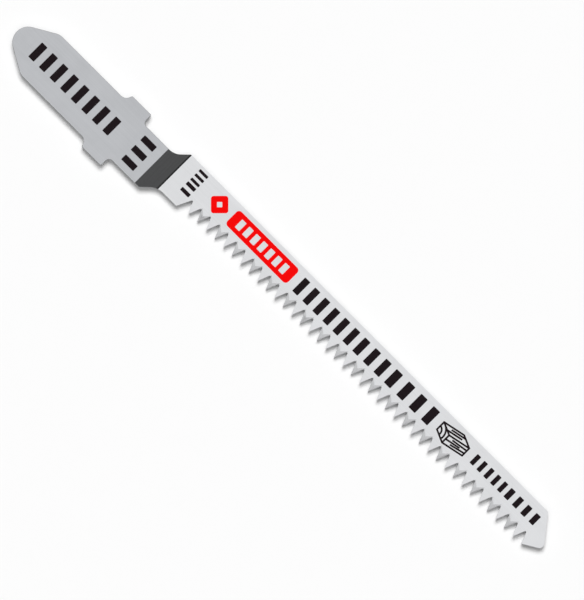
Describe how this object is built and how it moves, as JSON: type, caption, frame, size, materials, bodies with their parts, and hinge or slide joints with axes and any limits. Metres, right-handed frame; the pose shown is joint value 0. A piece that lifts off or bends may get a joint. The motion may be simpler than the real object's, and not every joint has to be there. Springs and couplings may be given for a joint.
{
  "type": "jigsaw blade",
  "caption": "Flat T-shank jigsaw blade with fine, alternately bevelled ground teeth for curved cuts in wood, a rounded lugged tang and a slanted point.",
  "frame": {"origin": "centre of the blade's length and width, on the surface it lies on", "axes": "+X from the tang's nose to the blade's point, +Y to the back edge (the teeth point to -Y), +Z out of the printed face"},
  "size_m": [0.083, 0.008, 0.0014],
  "materials": {
    "blade_steel": "plain satin tang, dark ramp, brighter finely ground body",
    "black_ink": "thin satin printed ink",
    "red_ink": "thin satin printed ink"
  },
  "bodies": {
    "root": {"blade": "blade_steel", "tang_code_print": "black_ink", "grade_mark_print": "black_ink", "pitch_mark_print": "black_ink", "emblem_print": "red_ink", "badge_print": "red_ink", "title_print": "black_ink", "wood_block_print": "black_ink", "origin_mark_print": "black_ink"}
  },
  "joints": []
}
